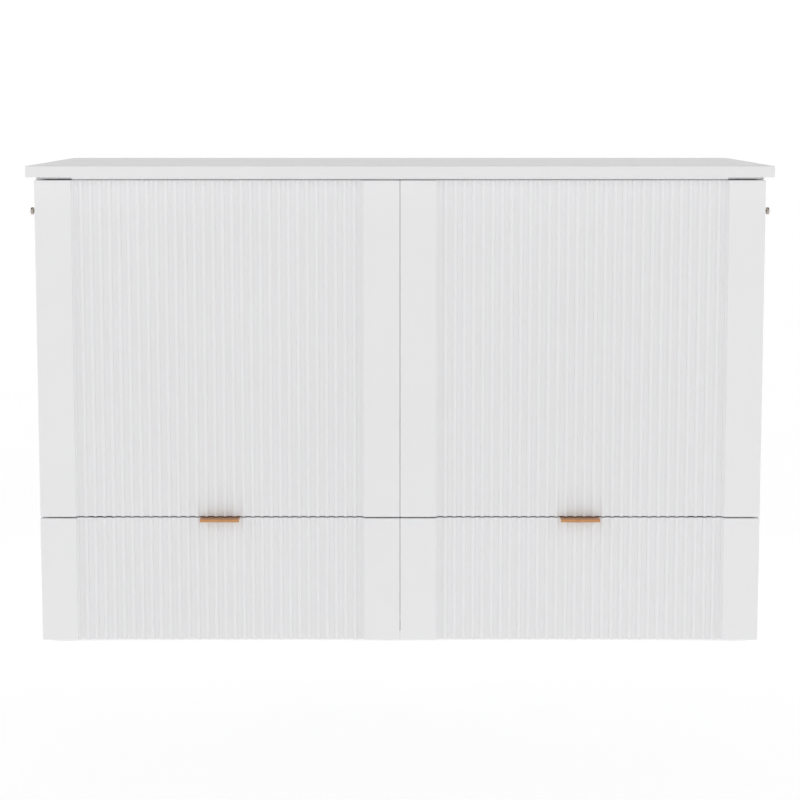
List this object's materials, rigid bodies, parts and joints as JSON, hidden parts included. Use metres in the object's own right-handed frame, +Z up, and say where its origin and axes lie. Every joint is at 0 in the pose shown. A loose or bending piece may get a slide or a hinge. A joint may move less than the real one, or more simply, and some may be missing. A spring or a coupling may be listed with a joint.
{
  "type": "cabinet bed",
  "caption": "Low white chest-style wall bed: fluted folding front over a rolling drawer, hinged lid, lock knobs, folded foam mattress inside.",
  "frame": {"origin": "on the floor, under the middle of the closed bed's bounding box", "axes": "+X to the right seen from the front, +Y to the back, +Z up; the front faces -Y"},
  "size_m": [1.6352, 0.6094, 1.0685],
  "materials": {
    "white_lacquer": "satin white lacquer on fibreboard",
    "hinge_steel": "dark bronze",
    "knob_nickel": "polished nickel plate",
    "copper_plate": "brushed rose copper plate",
    "slat_wood": "planed pine",
    "frame_wood": "planed pine",
    "drawer_board": "white melamine",
    "mattress_cover": "quilted knit cover",
    "webbing": "woven polyester webbing",
    "buckle_plastic": "moulded",
    "black_steel": "black powder coat",
    "wheel_rubber": "moulded",
    "foot_rubber": "moulded",
    "glide_plastic": "moulded"
  },
  "bodies": {
    "cabinet": {"side_panel_left": "white_lacquer", "side_panel_right": "white_lacquer", "rear_top_rail": "white_lacquer", "back_panel_left": "white_lacquer", "back_panel_right": "white_lacquer", "back_joint_strip": "white_lacquer", "foot_glides": "glide_plastic", "lid_bumpers": "foot_rubber", "deck_rail_front": "frame_wood", "deck_rail_rear": "frame_wood", "deck_bearers": "frame_wood", "deck_slats": "slat_wood", "lid_hinge_fixed_leaves": "hinge_steel", "platform_hinge_fixed_leaves": "hinge_steel", "lock_collars": "knob_nickel", "mattress_section_front": "mattress_cover", "mattress_section_middle": "mattress_cover", "mattress_section_rear": "mattress_cover", "mattress_straps": "webbing", "strap_buckles": "buckle_plastic"},
    "lid": {"lid_board": "white_lacquer", "lid_front_batten": "white_lacquer", "lid_hinge_moving_leaves": "hinge_steel"},
    "platform": {"platform_side_rails": "frame_wood", "platform_cross_rails": "frame_wood", "platform_centre_rail": "frame_wood", "platform_slats": "slat_wood", "platform_hinge_leaves": "hinge_steel", "lock_keepers": "hinge_steel", "leg_brackets": "black_steel"},
    "front_panel": {"front_inner_stile_left": "white_lacquer", "front_outer_stile_left": "white_lacquer", "front_fluted_panel_left": "white_lacquer", "front_inner_stile_right": "white_lacquer", "front_outer_stile_right": "white_lacquer", "front_fluted_panel_right": "white_lacquer", "front_backing_board": "white_lacquer", "fold_hinge_front_leaves": "hinge_steel", "drawer_link_front_leaves": "hinge_steel"},
    "drawer": {"drawer_inner_stile_left": "white_lacquer", "drawer_outer_stile_left": "white_lacquer", "drawer_fluted_panel_left": "white_lacquer", "drawer_inner_stile_right": "white_lacquer", "drawer_outer_stile_right": "white_lacquer", "drawer_fluted_panel_right": "white_lacquer", "drawer_backing_board": "white_lacquer", "drawer_sides": "drawer_board", "drawer_back": "drawer_board", "drawer_bottom": "drawer_board", "drawer_divider": "drawer_board", "drawer_pulls": "copper_plate", "drawer_link_saddles": "hinge_steel", "wheel_brackets": "black_steel"},
    "wheels_front": {"drawer_wheels_front": "wheel_rubber"},
    "wheels_rear": {"drawer_wheels_rear": "wheel_rubber"},
    "legs": {"leg_frames": "black_steel", "leg_foot_caps": "foot_rubber"},
    "lock_left": {"lock_knob_left": "knob_nickel"},
    "lock_right": {"lock_knob_right": "knob_nickel"}
  },
  "joints": [
    {"name": "platform_fold", "type": "hinge", "parent": "cabinet", "child": "platform", "pos_m": [0, -0.24855, 0.288], "axis": [1, 0, 0], "range_deg": [0, 90]},
    {"name": "front_panel_fold", "type": "hinge", "parent": "platform", "child": "front_panel", "pos_m": [0, -0.24855, 1.037], "axis": [-1, 0, 0], "range_deg": [0, 180]},
    {"name": "drawer_slide", "type": "slide", "parent": "cabinet", "child": "drawer", "axis": [0, -1, 0], "range_m": [0, 1.498]},
    {"name": "leg_swing", "type": "hinge", "parent": "platform", "child": "legs", "pos_m": [0, -0.23535, 0.976], "axis": [-1, 0, 0], "range_deg": [0, 90]},
    {"name": "wheels_front_roll", "type": "hinge", "parent": "drawer", "child": "wheels_front", "pos_m": [0, -0.18075, 0.02], "axis": [1, 0, 0], "range_deg": [0, 4292]},
    {"name": "wheels_rear_roll", "type": "hinge", "parent": "drawer", "child": "wheels_rear", "pos_m": [0, 0.20925, 0.02], "axis": [1, 0, 0], "range_deg": [0, 4292]},
    {"name": "lid_hinge", "type": "hinge", "parent": "cabinet", "child": "lid", "pos_m": [0, 0.30175, 1.0425], "axis": [-1, 0, 0], "range_deg": [0, 90]},
    {"name": "lock_left_slide", "type": "slide", "parent": "cabinet", "child": "lock_left", "axis": [1, 0, 0], "range_m": [0, 0.0075]},
    {"name": "lock_right_slide", "type": "slide", "parent": "cabinet", "child": "lock_right", "axis": [-1, 0, 0], "range_m": [0, 0.0075]}
  ],
  "couplings": [
    {"joint": "front_panel_fold", "follows": "platform_fold", "ratio": 2},
    {"joint": "drawer_slide", "follows": "platform_fold", "m_per_rad": 0.95365},
    {"joint": "leg_swing", "follows": "platform_fold", "ratio": 1},
    {"joint": "wheels_front_roll", "follows": "platform_fold", "ratio": 47.682},
    {"joint": "wheels_rear_roll", "follows": "platform_fold", "ratio": 47.682}
  ]
}
